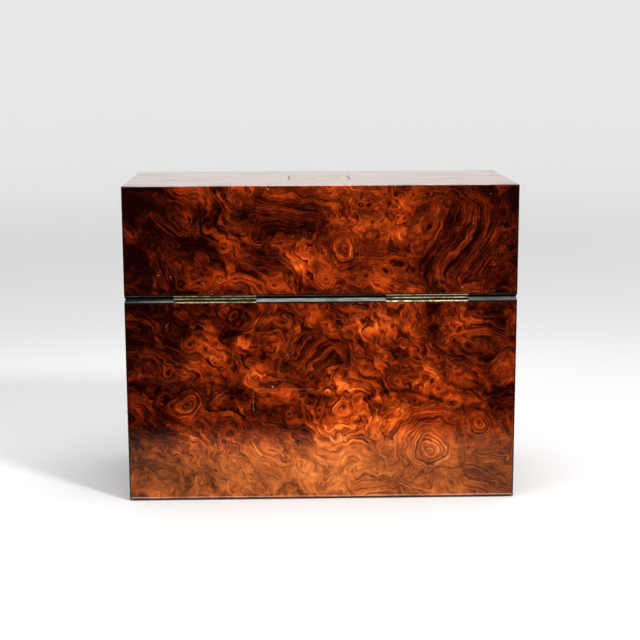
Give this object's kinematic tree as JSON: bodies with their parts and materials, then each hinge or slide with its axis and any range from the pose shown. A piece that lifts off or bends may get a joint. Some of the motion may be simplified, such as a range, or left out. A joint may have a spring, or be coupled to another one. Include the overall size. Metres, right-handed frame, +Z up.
{
  "type": "decanter box",
  "caption": "Burr walnut decanter box with a deep lid on brass stop hinges, a lock, velvet-lined places and square cut-glass decanters with ground stoppers.",
  "frame": {"origin": "middle of the underside, where the baize meets the table", "axes": "+X along the box, -Y the hinge side, +Y the lock side, +Z up"},
  "size_m": [0.33, 0.148, 0.27],
  "materials": {
    "burr_walnut": "high-gloss polish",
    "carcase_wood": "plain",
    "black_facing": "gloss polish",
    "hinge_brass": "worn satin",
    "plate_brass": "satin",
    "screw_brass": "satin",
    "bolt_steel": "brushed",
    "velvet": "short pile",
    "padded_silk": "pleated silk",
    "baize": "felted",
    "cut_glass": "polished"
  },
  "bodies": {
    "lid": {"hinge_lid_leaf_left": "hinge_brass", "hinge_lid_leaf_right": "hinge_brass", "hinge_lid_screws": "screw_brass", "lid_back_board": "carcase_wood", "lid_back_lining": "velvet", "lid_back_veneer": "burr_walnut", "lid_front_board": "carcase_wood", "lid_front_lining": "velvet", "lid_front_veneer": "burr_walnut", "lid_left_board": "carcase_wood", "lid_left_lining": "velvet", "lid_left_veneer": "burr_walnut", "lid_plaque": "plate_brass", "lid_right_board": "carcase_wood", "lid_right_lining": "velvet", "lid_right_veneer": "burr_walnut", "lid_rim_facing": "black_facing", "lid_top_board": "carcase_wood", "lid_top_pad": "padded_silk", "lid_top_veneer": "burr_walnut", "link_left": "plate_brass", "link_plate": "plate_brass", "link_plate_screws": "screw_brass", "link_right": "plate_brass"},
    "lock_bolt": {"lock_bolt": "bolt_steel"},
    "stopper_left": {"stopper_left": "cut_glass"},
    "stopper_centre": {"stopper_centre": "cut_glass"},
    "stopper_right": {"stopper_right": "cut_glass"},
    "case": {"base_baize": "baize", "case_back_board": "carcase_wood", "case_back_lining": "velvet", "case_back_veneer": "burr_walnut", "case_base_board": "carcase_wood", "case_front_board": "carcase_wood", "case_front_lining": "velvet", "case_front_veneer": "burr_walnut", "case_left_board": "carcase_wood", "case_left_lining": "velvet", "case_left_veneer": "burr_walnut", "case_right_board": "carcase_wood", "case_right_lining": "velvet", "case_right_veneer": "burr_walnut", "case_rim_facing": "black_facing", "decanter_centre": "cut_glass", "decanter_left": "cut_glass", "decanter_right": "cut_glass", "divider_left": "velvet", "divider_right": "velvet", "escutcheon": "plate_brass", "escutcheon_pins": "screw_brass", "floor_pad": "velvet", "hinge_case_leaf_left": "hinge_brass", "hinge_case_leaf_right": "hinge_brass", "hinge_case_screws": "screw_brass", "hinge_pin_left": "hinge_brass", "hinge_pin_right": "hinge_brass", "lock_case": "plate_brass", "lock_screws": "screw_brass"}
  },
  "joints": [
    {"name": "lid_hinge", "type": "hinge", "parent": "case", "child": "lid", "pos_m": [0, -0.071, 0.175], "axis": [1, 0, 0], "range_deg": [0, 95]},
    {"name": "bolt_slide", "type": "slide", "parent": "case", "child": "lock_bolt", "axis": [1, 0, 0], "range_m": [0, 0.005]},
    {"name": "stopper_left_turn", "type": "hinge", "parent": "case", "child": "stopper_left", "pos_m": [-0.10133, 0, 0.2057], "axis": [0, 0, 1], "continuous": true},
    {"name": "stopper_centre_turn", "type": "hinge", "parent": "case", "child": "stopper_centre", "pos_m": [0, 0, 0.2057], "axis": [0, 0, 1], "continuous": true},
    {"name": "stopper_right_turn", "type": "hinge", "parent": "case", "child": "stopper_right", "pos_m": [0.10133, 0, 0.2057], "axis": [0, 0, 1], "continuous": true}
  ]
}
